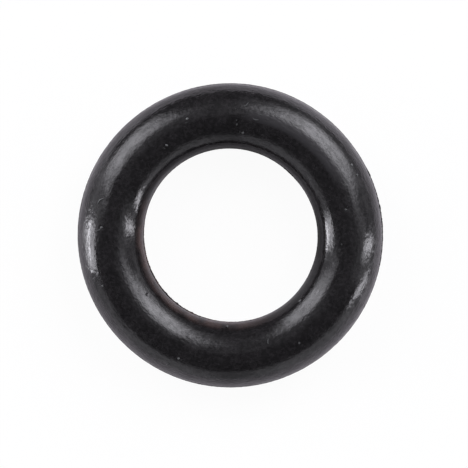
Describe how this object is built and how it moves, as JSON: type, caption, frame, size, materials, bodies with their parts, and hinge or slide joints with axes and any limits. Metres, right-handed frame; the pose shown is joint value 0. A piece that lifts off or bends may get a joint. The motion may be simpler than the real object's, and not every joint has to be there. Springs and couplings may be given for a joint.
{
  "type": "o-ring",
  "caption": "Moulded black rubber O-ring of round section, with a fine trimmed parting line round its bore and its outside.",
  "frame": {"origin": "centre of the ring, on its axis and half way up its section", "axes": "+Z along the ring's axis; X and Y lie in the plane of the parting line"},
  "size_m": [0.014, 0.014, 0.003],
  "materials": {
    "rubber": "moulded black nitrile rubber, satin with soft highlights, a few lint specks and tiny nicks"
  },
  "bodies": {
    "root": {"o_ring": "rubber"}
  },
  "joints": []
}
